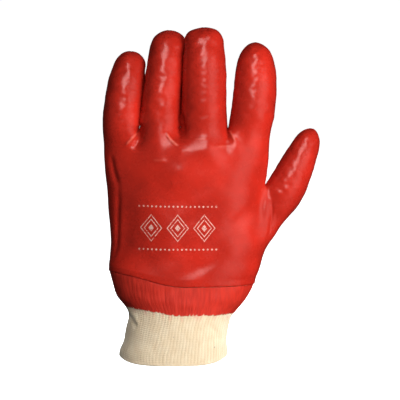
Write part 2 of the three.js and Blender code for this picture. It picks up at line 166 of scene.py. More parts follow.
# Ripples across the digits, from the knit under the coat: shortest and longest wavelength,
# height, how far they stray from straight across, and how many are laid over each other.
RIPPLES = [(4, 7, 0.035, 40, 18), (8, 15, 0.09, 60, 12)]
ripple_seed = 40
ripple_on_palm = 0.3

# Folds across a digit: along it, at its palm side or its back, depth, half width, bow.
DIGIT_FOLDS = [
    (0.06, "palm", 0.9, 1.6, 1.5),
    (0.4, "palm", 0.8, 1.3, 1.2),
    (0.46, "palm", 0.4, 1, 1),
    (0.71, "palm", 0.6, 1.1, 1),
    (0.38, "back", 0.12, 1.8, -1),
    (0.44, "back", 0.16, 1.5, 0.4),
    (0.5, "back", 0.1, 1.9, 1.4),
]
fold_focus = 3

# How far up its centre line a digit's own skin begins and is complete, and how far out from that
# line it may lie, in half widths.
finger_start = (0, 9)
thumb_start = (34, 46)
digit_reach = 1.5
centre_samples = 33

# Ridges and grooves in the back: from x, z to x, z, bow to the left, half width, and height, which
# is below 0 for a groove. The coat's material draws the sharp ones too, finer than the mesh can:
# as a bump, and as a paler red on the ridges, which is a painted highlight.
SHARP_LINES = [
    (-38.5, 168.5, -26.6, 181, 0, 1.2, 0.55),
    (-6, 181, 5, 169.4, -1.7, 1.2, 0.75),
    (13.5, 175.2, 27.5, 175.6, 0.3, 1.2, 0.3),
    (31, 169.6, 46, 169.6, 0.3, 1.3, 0.3),
    (42.2, 183, 48.6, 172, -0.2, 1.1, 0.45),
    (4, 163.8, 13, 167, 0.6, 1.1, 0.22),
    (-18, 158.9, -5, 158.4, 0.3, 1.5, 0.3),
    (76, 130, 72, 92, 1.4, 1.1, -0.5),
]
SOFT_LINES = [
    (-31, 166, -24.5, 186, -0.6, 2.8, -1.5),
    (5.5, 196, 7.5, 175, 0, 3, -2.2),
    (7, 186, 4, 138, 0, 9, 1.7),
    (-6, 167, 38, 169, 0, 7, 1.7),
    (39.5, 185, 41, 174, 0, 2.2, -0.6),
    (43, 186, 48, 164, 0, 5, 1.2),
    (-4, 140.5, 5, 139.5, 0.3, 2.4, 0.4),
    (28, 98, 72, 138, 1, 6, 0.6),
    (20, 88, 31, 66, 0, 5, 0.5),
    (-49, 163, -42.8, 137, -1, 2, -1.2),
    (-43, 141, -45.2, 76, 0.3, 1.9, -1.1),
    (71.6, 131, 71, 106, 0, 3, 0.8),
    (66.6, 142, 65.8, 108, 0, 3, -0.4),
    (82, 120, 74, 96, 0, 3.8, -1.1),
]

# The palm's own creases: the same columns, with the bow to the left as seen from the back.
PALM_LINES = [
    (-44, 158, 40, 160, -7, 1.3, -0.8),
    (-40, 140, 46, 152, 8, 1.3, -0.7),
    (14, 80, 48, 150, -16, 1.5, -0.9),
    (-6, 84, 2, 134, 5, 1.8, -0.45),
]

# A line fades over this share of its length at each end, from a little beyond the end.
line_fade = 0.3
line_overrun = 0.05

# How far a line's skin has to face the back or the palm to show it whole.
line_facing = 0.5

# How much deeper the lining sinks than the grooves, so that it never shows through.
lining_sink = 1.2

# Broad unevenness of the skin: wavelength, height, seed. The lining has the first ones only.
SKIN_WAVES = [(34, 0.3, 3), (15, 0.1, 8), (7, 0.03, 13)]
lining_waves = 2
calm_height = 30

# Flanks that bulge towards their own side: digit, side, z, reach along z, distance.
FLANKS = [
    (0, 1, 202, 25, 0.7),
    (1, -1, 202, 25, 0.7),
    (1, 1, 200, 22, 0.5),
    (2, -1, 200, 22, 0.7),
    (0, 1, 188, 6, 0.6),
    (1, -1, 188, 6, 0.6),
    (1, 1, 188, 6, 0.6),
    (2, -1, 188, 6, 0.6),
    (0, 1, 237, 9, 1.6),
    (1, 1, 251, 9, 2.8),
    (2, -1, 254, 7, 1.2),
    (2, 1, 254, 7, 0.8),
]
flank_grip = 4

# Small moves of the outline: at x, z, within a reach, by x, z.
OUTLINE_MOVES = [
    (77, 99, 8, 1.7, 0),
    (13, 257, 5, -0.9, 0.6),
    (32, 257, 5, 0.6, 0.9),
]

# How far the little finger's side of the back falls away, between two places across. The fall
# fades out between two depths, over two heights above the seam, and over a height below the forks.
back_fall = 5
fall_across = (0.15, 0.85)
fall_depths = (-4, 12)
fall_above_seam = (2, 26)
fall_below_forks = 22

# How far up the hand the skin follows its lip onto the wrist's outline.
meet_height = 16

# The lip, rounded under at the seam: how far above it, and how far beyond the lip's own outline.
LIP_ROWS = [(0, -0.35), (0.12, -0.12), (0.4, 0), (1, 0.1), (2, 0.06), (3.4, 0)]
lip_inside = 0.3

# The knit's ribs and stitches.
rib_columns = 6
course_height = 1.3
course_rows = 4
rib_relief = 0.6
stitch_depth = 0.11
rib_roundness = 0.6
stitch_lean = 0.45
stitch_under_coat = 0.4

# How far ribs wander, in ribs: over what height, and with how much twist and how often round.
rib_wander = 0.16
wander_height = 9
wander_twist = 1.7
wander_cycles = (3, 5)

# Unevenness of the ribs' height: how much, and its cycles along the ribs' count and up them.
KNIT_UNEVEN = (0.25, 2.4, 0.21)
BAND_UNEVEN = (0.35, 1.9, 0.15)

# The hem: the welt's start and end above the roll, and the unevenness of its rim.
welt_start = 0.4
hem_welt = 1.8
hem_uneven = 0.1
hem_cycle = 1.3
roll_degrees = range(150, 0, -30)

# Broad unevenness and creases of the knit, in the columns of SKIN_WAVES and SHARP_LINES. The waves
# are cut off at a share of their height, and fade between two heights round the coat's edge.
KNIT_WAVES = [(36, 0.45, 21), (13, 0.14, 22)]
wave_cap = 0.6
wave_fade = (-6, 2)
KNIT_LINES = [
    (-36, 39, -29, 28, 0.5, 1.7, -0.9),
    (-33.5, 41, -26, 30, 0.5, 1.8, 0.4),
    (27, 34, 35, 24, -0.5, 2, -0.35),
]

# How far the stitches go on under the coat, and the rows above them and inside the tube.
knit_cover = 3
hidden_rows = 8
inside_rows = 14
inside_rib = 0.12

# The band: its coat thins to its edge, where the tips of some ribs stay bare.
band_rows = 44
band_row_spread = 1.15
band_inside_rows = 4
band_inside_low, band_inside_high = -0.25, 0.1
band_tuck = 0.1
band_rib_depth = 0.2
band_rib_top = 0.3
band_stitch = 0.35
band_stitch_top = 0.4
BAND_WAVES = [(30, 0.35, 31), (9, 0.12, 32)]
band_wave_start = (1, 8)
edge_wall = 0.12
edge_fade = 11
edge_wander = 0.45
edge_own, edge_neighbour = 0.6, 0.4
tip_share = 0.55
tip_height = 1.7
tip_width = 0.3
tip_shortest = 0.45
stray_seed, tall_seed, tip_seed = 5, 6, 7


def lerp(a, b, t):
    return a + (b - a) * t


def smoothstep(x, low, high):
    t = np.clip((x - low) / (high - low), 0, 1)
    return t * t * (3 - 2 * t)


def power(value, exponent):
    return np.sign(value) * np.abs(value) ** exponent


def slant(across):
    return 1 - smoothstep(across, slant_from, slant_to)


def seam_at(across):
    return seam_height + seam_slant * slant(across)


def coat_edge_at(across):
    return seam_height - band_height + coat_edge_slant * slant(across)


def hem_at(across):
    return hem_rise * np.abs(across) ** hem_squareness


def course(table, up, column):
    """A smooth course through one column of a table whose rows go up by their column "up"."""
    ups, values = np.array(table["up"]), np.array(table[column])
    high = np.clip(np.searchsorted(ups, up), 1, len(ups) - 1)
    low = high - 1
    before, after = np.maximum(low - 1, 0), np.minimum(high + 1, len(ups) - 1)
    height = ups[high] - ups[low]
    t = np.clip((up - ups[low]) / height, 0, 1)
    leave = (values[high] - values[before]) / (ups[high] - ups[before]) * height
    arrive = (values[after] - values[low]) / (ups[after] - ups[low]) * height
    rise = values[high] - values[low]
    bend = (3 * rise - 2 * leave - arrive) * t**2 + (leave + arrive - 2 * rise) * t**3
    return values[low] + leave * t + bend


def wrist_outline(z, out):
    grown = course(WRIST_SECTIONS, z / seam_height, "grown")
    half_width = lerp(wrist_width, seam_width, grown) / 2 + out
    half_depth = lerp(wrist_depth, seam_depth, grown) / 2 + out
    return half_width, half_depth, seam_shift * course(WRIST_SECTIONS, z / seam_height, "shift")


def across_at(turn):
    return power(np.cos(turn), 2 / wrist_squareness)


def wrist_points(turn, z, out):
    half_width, half_depth, middle = wrist_outline(z, out)
    x = middle + half_width * across_at(turn)
    y = half_depth * power(np.sin(turn), 2 / wrist_squareness)
    return np.stack([x, y, z + 0 * x], axis=-1)


def even_turns(count):
    """Turns round the wrist, from the little finger's side, that part its outline evenly."""
    fine = walk_steps * count
    turns = math.pi + TAU * np.arange(fine + 1) / fine
    steps = np.diff(wrist_points(turns, np.full(fine + 1, seam_height / 2), 0), axis=0)
    walk = np.concatenate([[0], np.cumsum(np.linalg.norm(steps, axis=1))])
    return np.interp(walk[-1] * np.arange(count) / count, walk, turns)


wrist_round = TAU * math.hypot(wrist_width / 2, wrist_depth / 2) * math.sqrt(0.5)
rib_count = round(wrist_round / rib_pitch)

# The columns of the knit and the band: where each lies in turns, and counted in ribs.
turns_round = even_turns(rib_count * rib_columns)
ribs_round = np.arange(rib_count * rib_columns) / rib_columns


def wave_heights(points, table, highest=math.inf):
    """What a table of smooth random fields adds together, each cut off at its highest value."""
    flat = points.reshape(-1, 3)
    total = np.zeros(len(flat))
    for wavelength, high, seed in table:
        rng = np.random.default_rng(seed)
        field = np.zeros(len(flat))
        for _ in range(wave_count):
            direction = rng.normal(size=3)
            direction *= TAU / wavelength / np.linalg.norm(direction)
            field += np.sin(flat @ direction + rng.uniform(0, TAU))
        field *= math.sqrt(2 / wave_count) / wave_peak
        total += high * np.minimum(field, highest)
    return total.reshape(points.shape[:-1])


class Net:
    """Points and faces that grow ring by ring."""

    def __init__(self):
        self.points = []
        self.faces = []
        self.inside_from = None

    def add(self, point):
        self.points.append(tuple(float(x) for x in point))
        return len(self.points) - 1

    def ring(self, points):
        return [self.add(point) for point in points]

    def join(self, lower, upper, skip=lambda k: False):
        """Quads between two rings of as many points."""
        for k, point in enumerate(lower):
            after = (k + 1) % len(lower)
            if not skip(k):
                self.faces.append((point, lower[after], upper[after], upper[k]))

    def zip(self, lower, upper):
        """Triangles between two rings that start on the same side and may differ in count."""
        place = np.array(self.points)
        i = j = 0
        while i < len(lower) or j < len(upper):
            low, high = lower[i % len(lower)], upper[j % len(upper)]
            low_next, high_next = lower[(i + 1) % len(lower)], upper[(j + 1) % len(upper)]
            low_reach = np.linalg.norm(place[low_next] - place[high])
            high_reach = np.linalg.norm(place[low] - place[high_next])
            if j == len(upper) or (i < len(lower) and low_reach <= high_reach):
                self.faces.append((low, low_next, high))
                i += 1
            else:
                self.faces.append((low, high_next, high))
                j += 1

    def stack(self, rings):
        for lower, upper in zip(rings, rings[1:]):
            if len(lower) == len(upper):
                self.join(lower, upper)
            else:
                self.zip(lower, upper)


def digit_frame(digit, root, along):
    """The centre line of a digit at a share of its length, its way up and its two ways across."""
    centre = np.array(root, float)
    step = along / lean_steps
    for i in range(lean_steps + 1):
        gone = step * i
        lean = math.radians(lerp(digit["tip_lean"], digit["root_lean"], (1 - gone) ** 2))
        curl = math.radians(digit["curl"] * gone)
        flat = math.cos(curl)
        heading = np.array([math.sin(lean) * flat, math.sin(curl), math.cos(lean) * flat])
        if i < lean_steps:
            centre += heading * digit["length"] * step
    across = np.array([math.cos(lean), 0, -math.sin(lean)])
    return centre, heading, across, np.cross(heading, across)


def add_digit(net, digit, root, root_ring, sections):
    below = root_ring
    for along, own, wide, deep in sections:
        centre, _, across, palmward = digit_frame(digit, root, along)
        tapered = 1 - (1 - wide) * digit["taper"]
        half_width = digit["width"] * tapered * lerp(digit["knuckle"], 1, own) / 2 / ring_reach
        half_depth = digit["depth"] * deep / 2 / ring_reach
        angles = math.pi + TAU * np.arange(digit_sides) / digit_sides
        above = net.ring(
            centre + across * half_width * math.cos(a) + palmward * half_depth * math.sin(a)
            for a in angles
        )
        net.join(below, above)
        below = above
    last = sections[-1][0]
    tip = net.add(digit_frame(digit, root, last + (1 - last) / tip_reach)[0])
    for k in range(0, digit_sides, 2):
        net.faces.append((tip, below[k], below[k + 1], below[(k + 2) % digit_sides]))


def places_round():
    """Places round the hand as (across, palmward, is a fork, facing), from the little finger's
    edge over the back to the thumb's edge and back over the palm."""
    middles, forks = [], []
    fork = -1
    for i, finger in enumerate(FINGERS):
        share = 2 * finger["width"] * finger["knuckle"] / knuckle_width
        middles.append((fork + share / 2, finger["palmward"], False))
        fork += share
        if i + 1 < len(FINGERS):
            between = (finger["palmward"] + FINGERS[i + 1]["palmward"]) / 2
            forks.append((fork, between, True))
    first, last = FINGERS[0]["palmward"], FINGERS[-1]["palmward"]
    places = [(-side_edge, first, False), middles[0]]
    for between, middle in zip(forks, middles[1:]):
        places += [between, middle]
    places.append((side_edge, last, False))
    back = [place + (-1,) for place in places]
    palm = [place + (1,) for place in reversed(places)]
    return [(-1, first, False, 0), *back, (1, last, False, 0), *palm]


def depth_across(across, squareness):
    return max(0, 1 - abs(across) ** squareness) ** (1 / squareness)


def hand_net():
    """The coarse net of the whole hand, and where each digit's root is."""
    net = Net()
    around = places_round()
    half_knuckles, half_knuckle_depth = knuckle_width / 2, knuckle_depth / 2

    rows = []
    for up, wide, left, right, ball, crease in PALM_ROWS:
        ring = []
        for across, palmward, _, facing in around:
            bottom = seam_at(across) + lip_height
            lip_half_width, lip_half_depth, lip_middle = wrist_outline(bottom, lip_out)
            spread = -left if across < 0 else right
            half_width = lerp(lip_half_width, half_knuckles, wide) * abs(across)
            half_depth = lerp(lip_half_depth, half_knuckle_depth, up)
            squareness = lerp(wrist_squareness, palm_squareness, up)
            swell = thumb_ball * ball * smoothstep(across, ball_from, ball_to) * (facing > 0)
            sunk = thumb_crease * crease * (facing < 0 and across == side_edge)
            x = lerp(lip_middle, knuckle_shift, up) + np.sign(across) * half_width
            y = facing * half_depth * depth_across(across, squareness) + swell + sunk
            y += palmward * knuckle_depth * up
            ring.append((x + spread * knuckle_width, y, lerp(bottom, fork_height, up)))
        rows.append(net.ring(ring))

    def knuckle_x(across):
        return knuckle_shift + half_knuckles * across

    ring = []
    for across, palmward, is_fork, facing in around:
        plain = half_knuckle_depth * depth_across(across, palm_squareness)
        y = facing * (fork_depth if is_fork else plain) + palmward * knuckle_depth
        ring.append((knuckle_x(across), y, fork_height - (fork_valley if is_fork else knuckle_drop)))
    rows.append(net.ring(ring))

    edge = next(k for k, place in enumerate(around) if place[0] == 1)
    for j, (lower, upper) in enumerate(zip(rows, rows[1:])):
        opening = j in (thumb_row - 1, thumb_row)
        net.join(lower, upper, lambda k: opening and k in (edge - 1, edge))

    roots = []
    knuckles = rows[-1]
    fork = knuckles[0]
    for i, finger in enumerate(FINGERS):
        left = 2 * i + 1
        if finger is FINGERS[-1]:
            next_fork = knuckles[edge]
        else:
            across, palmward = around[left + 2][:2]
            next_fork = net.add((knuckle_x(across), palmward * knuckle_depth, fork_height))
        back = [knuckles[k] for k in (left, left + 1, left + 2)]
        palm = [knuckles[len(around) - k] for k in (left + 2, left + 1, left)]
        middle = knuckle_x(around[left + 1][0])
        roots.append((middle, finger["palmward"] * knuckle_depth, fork_height))
        add_digit(net, finger, roots[-1], [fork, *back, next_fork, *palm], FINGER_SECTIONS)
        fork = next_fork

    lower, middle, upper = (rows[thumb_row + step] for step in (-1, 0, 1))
    thumb_ring = [
        upper[edge], upper[edge - 1], middle[edge - 1], lower[edge - 1],
        lower[edge], lower[edge + 1], middle[edge + 1], upper[edge + 1],
    ]
    root = np.array(net.points[middle[edge]]) + (-thumb_sink, thumb_palmward, -thumb_drop)
    roots.append(tuple(root))
    add_digit(net, THUMB, root, thumb_ring, THUMB_SECTIONS)
    return net, roots


def smoothed(net, levels):
    """The skin that endless smoothing of a coarse net gives, as points and quads."""
    mesh = bpy.data.meshes.new("net")
    used = sorted({i for face in net.faces for i in face})
    place = {i: j for j, i in enumerate(used)}
    faces = [tuple(place[i] for i in face) for face in net.faces]
    mesh.from_pydata([net.points[i] for i in used], [], faces)
    rough = bpy.data.objects.new("net", mesh)
    bpy.context.scene.collection.objects.link(rough)
    modifier = rough.modifiers.new("smooth", "SUBSURF")
    modifier.levels = levels
    modifier.boundary_smooth = "ALL"
    modifier.use_limit_surface = True
    bpy.context.view_layer.update()
    evaluated = rough.evaluated_get(bpy.context.evaluated_depsgraph_get())
    fine = evaluated.to_mesh()
    points = np.empty(len(fine.vertices) * 3)
    fine.vertices.foreach_get("co", points)
    quads = np.empty(len(fine.loops), int)
    fine.loops.foreach_get("vertex_index", quads)
    evaluated.to_mesh_clear()
    bpy.data.objects.remove(rough)
    bpy.data.meshes.remove(mesh)
    return points.reshape(-1, 3), quads.reshape(-1, 4)


def unit(vectors):
    return vectors / np.maximum(np.linalg.norm(vectors, axis=1), shortest_normal)[:, None]


def normals(points, quads):
    a, b, c, d = (points[quads[:, k]] for k in range(4))
    facing = unit(np.cross(c - a, d - b))
    total = np.zeros_like(points)
    for k in range(4):
        np.add.at(total, quads[:, k], facing)
    return unit(total)


def open_ring(points, quads):
    """The open edge of a skin as a ring, from the little finger's side."""
    edges = [(quad[k - 1], quad[k]) for quad in quads.tolist() for k in range(4)]
    met = set(edges)
    after = {a: b for a, b in edges if (b, a) not in met}
    start = min(after, key=lambda i: points[i][0])
    ring = [start]
    while after[ring[-1]] != start:
        ring.append(after[ring[-1]])
    return ring


def turns_of(points, out):
    """The turns round the wrist at which points lie, in plan."""
    half_width, half_depth, middle = wrist_outline(points[:, 2], out)
    x = power((points[:, 0] - middle) / half_width, wrist_squareness / 2)
    y = power(points[:, 1] / half_depth, wrist_squareness / 2)
    return np.arctan2(y, x)


def press_folds(points):
    on_back = (points[:, 1] < 0) & (points[:, 2] < fork_height)
    for across, up, long, wide, turned, deep in FOLDS:
        x = points[:, 0] - knuckle_shift - knuckle_width / 2 * across
        z = points[:, 2] - lerp(seam_at(across), fork_height, up)
        sin, cos = math.sin(math.radians(turned)), math.cos(math.radians(turned))
        along = (x * sin + z * cos) / (long * knuckle_width)
        aside = (x * cos - z * sin) / (wide * knuckle_width)
        points[:, 1] += on_back * deep * fold_depth * np.exp(-(along**2) - aside**2)


def move_outline(points):
    for x, z, reach, by_x, by_z in OUTLINE_MOVES:
        away = (points[:, 0] - x) ** 2 + (points[:, 2] - z) ** 2
        near = np.exp(-away / reach**2)
        points[:, 0] += by_x * near
        points[:, 2] += by_z * near


def let_back_fall(points):
    across = (points[:, 0] - knuckle_shift) / (knuckle_width / 2)
    fall = smoothstep(-across, *fall_across) * (1 - smoothstep(points[:, 1], *fall_depths))
    fall *= smoothstep(points[:, 2] - seam_height, *fall_above_seam)
    fall *= 1 - smoothstep(points[:, 2], fork_height - fall_below_forks, fork_height)
    points[:, 1] += back_fall * fall


def line_heights(points, lines):
    """What ridges and grooves along bowed lines in the X-Z plane add to the skin."""
    total = np.zeros(len(points))
    for x0, z0, x1, z1, bow, wide, high in lines:
        chord = np.array([x1 - x0, z1 - z0])
        length = np.linalg.norm(chord)
        along_way = chord / length
        left_way = np.array([-along_way[1], along_way[0]])
        place = points[:, [0, 2]] - (x0, z0)
        along = place @ along_way / length
        aside = place @ left_way - bow * 4 * along * (1 - along)
        beyond = np.maximum(np.maximum(-along, along - 1), 0) * length / (2 * wide)
        fade = smoothstep(along, -line_overrun, line_fade)
        fade *= 1 - smoothstep(along, 1 - line_fade, 1 + line_overrun)
        total += high * fade * np.exp(-((aside / wide) ** 2) - beyond**2)
    return total


def digit_places(points, roots):
    """For each point: which digit it is on, how far up that digit's centre line it lies, its
    angle round it from the thumb's side to the palm, and how surely it is on that digit."""
    samples = np.linspace(0, 1, centre_samples)
    best = None
    for number, (digit, root) in enumerate(zip(DIGITS, roots)):
        frames = [digit_frame(digit, root, along) for along in samples]
        centre, heading, across, palmward = (np.array(part) for part in zip(*frames))
        nearest = np.argmin([((points - place) ** 2).sum(1) for place in centre], axis=0)
        away = points - centre[nearest]
        ahead = (away * heading[nearest]).sum(1)
        climb = samples[nearest] * digit["length"] + ahead
        side = (away * across[nearest]).sum(1)
        palm = (away * palmward[nearest]).sum(1)
        reach = np.hypot(side / digit["width"], palm / digit["depth"]) * 2
        start = thumb_start if digit is THUMB else finger_start
        sure = (reach < digit_reach) * smoothstep(climb, *start)
        made = (np.full(len(points), number), climb, np.arctan2(palm, side), sure, reach)
        if best is None:
            best = made
        else:
            closer = (sure > 0) & ((best[3] == 0) | (reach < best[4]))
            best = tuple(np.where(closer, new, old) for new, old in zip(made, best))
    return best[:4]


def digit_heights(points, roots):
    """What the ripples and the folds across the digits add to the skin."""
    number, climb, angle, sure = digit_places(points, roots)
    total = np.zeros(len(points))
    back = np.cos((angle + math.pi / 2) / 2) ** 2
    palm = np.cos((angle - math.pi / 2) / 2) ** 2
    for i, digit in enumerate(DIGITS):
        rng = np.random.default_rng(ripple_seed + i)
        round_it = angle * digit["width"] / 2
        ripple = np.zeros(len(points))
        for shortest, longest, high, stray, count in RIPPLES:
            for _ in range(count):
                wavelength = rng.uniform(shortest, longest)
                tilt, phase = math.radians(rng.uniform(-stray, stray)), rng.uniform(0, TAU)
                place = climb * math.cos(tilt) + round_it * math.sin(tilt)
                ripple += high * math.sqrt(2 / count) * np.sin(TAU * place / wavelength + phase)
        fold = np.zeros(len(points))
        for along, side, deep, wide, bow in DIGIT_FOLDS:
            towards = palm if side == "palm" else back
            bowed = climb - along * digit["length"] - bow * 4 * (1 - towards)
            fold -= deep * towards**fold_focus * np.exp(-((bowed / wide) ** 2))
        total += (number == i) * sure * (ripple * lerp(ripple_on_palm, 1, back) + fold)
    return total


def shape_flanks(points, roots):
    """Moves the flanks of the digits as the table of flanks says."""
    number, _, angle, sure = digit_places(points, roots)
    for digit, side, z, reach, distance in FLANKS:
        towards = (number == digit) * np.clip(side * np.cos(angle), 0, 1)
        near = np.minimum(1, flank_grip * sure) * np.exp(-(((points[:, 2] - z) / reach) ** 4))
        points[:, 0] += side * distance * towards * near


def dress_skin(points, quads, roots, fine):
    """Gives the smooth skin its folds, and the finer ripples and lines where it is fine."""
    press_folds(points)
    let_back_fall(points)
    move_outline(points)
    facing = normals(points, quads)
    calm = smoothstep(points[:, 2], seam_height + lip_height, seam_height + calm_height)
    total = wave_heights(points, SKIN_WAVES if fine else SKIN_WAVES[:lining_waves])
    lines = smoothstep(-facing[:, 1], 0, line_facing) * line_heights(points, SHARP_LINES + SOFT_LINES)
    lines += smoothstep(facing[:, 1], 0, line_facing) * line_heights(points, PALM_LINES)
    if fine:
        total += digit_heights(points, roots) + lines
    else:
        total += lining_sink * np.minimum(lines, 0)
    points += facing * (total * calm)[:, None]
    if fine:
        shape_flanks(points, roots)
    return normals(points, quads)


def meet_outline(points, edge, turns):
    """Brings a skin's open edge onto the wrist's outline, and the skin above it along smoothly."""
    moved = wrist_points(turns, points[edge][:, 2], lip_out) - points[edge]
    order = np.argsort(turns)
    around = turns_of(points, lip_out)
    low = points[:, 2] - seam_at(across_at(around)) - lip_height
    share = 1 - smoothstep(low, 0, meet_height)
    for axis in (0, 1):
        shift = np.interp(around, turns[order], moved[order, axis], period=TAU)
        points[:, axis] += share * shift
    points[edge] = wrist_points(turns, points[edge][:, 2], lip_out)


def hand_skin():
    """The coated hand: a fine outside, its lining a wall inside, and the lip that joins them."""
    rough, roots = hand_net()
    points, quads = smoothed(rough, OUTSIDE_LEVELS)
    dress_skin(points, quads, roots, fine=True)
    edge = open_ring(points, quads)
    lining, lining_quads = smoothed(rough, INSIDE_LEVELS)
    lining -= dress_skin(lining, lining_quads, roots, fine=False) * hand_wall
    lining_edge = open_ring(lining, lining_quads)

    turns = turns_of(points[edge], lip_out)
    meet_outline(points, edge, turns)
    lining_turns = turns_of(lining[lining_edge], lip_out - hand_wall)
    lining_heights = lining[lining_edge][:, 2]
    lining[lining_edge] = wrist_points(lining_turns, lining_heights, lip_out - hand_wall)

    net = Net()
    net.points, net.faces = points.tolist(), quads.tolist()
    seam = seam_at(across_at(turns))
    rings = [net.ring(wrist_points(turns, seam, lip_inside - knit_wall))]
    rings += [net.ring(wrist_points(turns, seam + up, lip_out + out)) for up, out in LIP_ROWS]
    net.stack([*rings, edge])
    net.inside_from = len(net.faces)
    start = len(net.points)
    net.points += lining.tolist()
    net.faces += (lining_quads[:, ::-1] + start).tolist()
    net.zip([i + start for i in lining_edge], rings[0])
    return net


def rib_height(ribs):
    """The round crest of each rib, from 0 at its top to -1 in the valley beside it."""
    return np.abs(np.sin(math.pi * ribs)) ** rib_roundness - 1


def stitch_height(ribs, courses):
    """The two legs of each stitch, which meet in a V in the middle of the rib."""
    beside = np.abs(2 * (ribs % 1) - 1)
    return np.cos(TAU * (courses + stitch_lean * beside)) * (1 - beside**4)


def wandering(turns, z):
    """Turns round the wrist of columns that wander a little on their way up, as the ribs do."""
    often, seldom = wander_cycles[1], wander_cycles[0]
    phase = z / wander_height + wander_twist * np.sin(turns * seldom) + turns * often
    return turns + rib_wander * np.sin(phase) * TAU / rib_count


def unevenness(ribs, climb, amount, rib_cycle, climb_cycle):
    return 1 + amount * np.sin(ribs * rib_cycle) * np.sin(climb * climb_cycle + ribs)


def knit_wrist():
    """The rib knit tube: stitches where it shows, a rolled hem, and a plain inside."""
    net = Net()
    across = across_at(turns_round)
    hem, edge, top = hem_at(across), coat_edge_at(across) + knit_cover, seam_at(across) - seam_gap
    courses = round((seam_height - band_height) / course_height)
    rolled = knit_wall / 2

    shares = np.linspace(0, 1, courses * course_rows + 1)[:, None]
    z = lerp(hem + rolled, edge, shares)
    z = np.vstack([z, lerp(edge, top, np.linspace(0, 1, hidden_rows + 1)[1:, None])])
    count = np.concatenate([shares[:, 0] * courses, np.full(hidden_rows, courses)])[:, None]
    ribs, spun = ribs_round, wandering(turns_round, z)
    flat = wrist_points(spun, z, 0)
    welt = smoothstep(z - hem, rolled + welt_start, rolled + hem_welt)
    shown = 1 - smoothstep(z, edge - knit_cover, edge)
    out = rib_relief * rib_depth * welt * rib_height(ribs) * unevenness(ribs, count, *KNIT_UNEVEN)
    out += stitch_depth * welt * lerp(stitch_under_coat, 1, shown) * stitch_height(ribs, count)
    out += (1 - smoothstep(z - edge, *wave_fade)) * wave_heights(flat, KNIT_WAVES, wave_cap)
    out += hem_uneven * (1 - welt) * np.sin(ribs * hem_cycle)
    creases = line_heights(flat.reshape(-1, 3), KNIT_LINES).reshape(z.shape)
    out += creases * (flat[..., 1] < 0)
    rings = [net.ring(row) for row in wrist_points(spun, z, out)]

    roll = []
    for angle in np.radians(roll_degrees):
        offset = rolled * (math.cos(angle) - 1)
        roll.append(net.ring(wrist_points(spun[0], hem + rolled * (1 - math.sin(angle)), offset)))
    inner_turns = even_turns(rib_count * 2)
    inner_across = across_at(inner_turns)
    low_end, high_end = hem_at(inner_across) + rolled, seam_at(inner_across) - seam_gap
    ripple = inside_rib * np.cos(np.arange(len(inner_turns)) * math.pi)
    inside = [
        net.ring(wrist_points(inner_turns, lerp(low_end, high_end, share), ripple - knit_wall))
        for share in np.linspace(1, 0, inside_rows + 1)
    ]
    net.stack([*rings, *inside, *roll, rings[0]])
    return net


def rib_noise(seed):
    """A random number from -1 to 1 for each rib."""
    return np.random.default_rng(seed).uniform(-1, 1, rib_count)


def ragged_edge():
    """The height of the coat's edge at each column, with the bare tips of some ribs."""
    rib = ribs_round.astype(int)
    own = edge_own * rib_noise(stray_seed)
    stray = own + edge_neighbour * np.roll(own, 1)
    sizes = lerp(tip_shortest, 1, np.abs(rib_noise(tip_seed)))
    tips = np.where(rib_noise(tall_seed) > 1 - 2 * tip_share, sizes, 0)
    peak = np.maximum(0, 1 - np.abs(ribs_round % 1 - 0.5) / tip_width)
    edge = coat_edge_at(across_at(turns_round)) + edge_wander * stray[rib]
    return edge + tip_height * tips[rib] * peak


def coated_band():
    """The thin coat over the knit, from its ragged edge up to the seam."""
    net = Net()
    edge, top = ragged_edge(), seam_at(across_at(turns_round)) - seam_gap
    shares = np.linspace(0, 1, band_rows + 1)[:, None] ** band_row_spread
    z = lerp(edge, top, shares)
    ribs, spun = ribs_round, wandering(turns_round, z)
    rib_depths = band_rib_depth * lerp(1, band_rib_top, shares) * unevenness(ribs, z, *BAND_UNEVEN)
    stitch_depths = band_stitch * stitch_depth * lerp(1, band_stitch_top, shares)
    out = lerp(edge_wall, seam_gap + band_wall, smoothstep(z - edge, 0, edge_fade))
    out = out + rib_depths * rib_height(ribs)
    out += stitch_depths * stitch_height(ribs, z / course_height)
    out += smoothstep(z - edge, *band_wave_start) * wave_heights(wrist_points(spun, z, 0), BAND_WAVES)
    rings = [net.ring(row) for row in wrist_points(spun, z, out)]
    inner = []
    for share in np.linspace(1, 0, band_inside_rows + 1):
        height = lerp(edge + band_tuck, top, share)
        inside = lerp(band_inside_low, band_inside_high, share)
        inner.append(net.ring(wrist_points(spun[0], height, inside)))
    net.stack([*rings, *inner, rings[0]])
    return net


def new_piece(name, net, materials, replaced, marks=lambda points: {}):
    """A mesh from a net, in metres, in place of one CAD node, with marks for its material."""
    points = np.array(net.points)
    mesh = bpy.data.meshes.new(name)
    mesh.from_pydata((points * METRES).tolist(), [], net.faces)
    mesh.validate()
    for material in materials:
        mesh.materials.append(material)
    if net.inside_from is not None:
        index = [0] * net.inside_from + [1] * (len(net.faces) - net.inside_from)
        mesh.polygons.foreach_set("material_index", index)
    mesh.polygons.foreach_set("use_smooth", [True] * len(mesh.polygons))
    for mark, values in marks(points).items():
        mesh.attributes.new(mark, "FLOAT", "POINT").data.foreach_set("value", values)
    piece = bpy.data.objects.new(name, mesh)
    bpy.context.scene.collection.objects.link(piece)
    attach(piece, "root")
    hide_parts(replaced)


def knit_marks(points):
    """How far each point of the knit lies below the coat's edge, and how deep in a valley."""
    turns = turns_of(points, 0)
    sunk = np.linalg.norm(points - wrist_points(turns, points[:, 2], 0), axis=1)
    below_edge = coat_edge_at(across_at(turns)) - points[:, 2]
    return {"below_edge": below_edge, "valley": np.clip(sunk / rib_depth, 0, 1)}


def band_marks(points):
    """How far each point of the band lies above the coat's edge."""
    edge = np.tile(ragged_edge(), len(points) // len(ribs_round))
    return {"above_edge": points[:, 2] - edge}


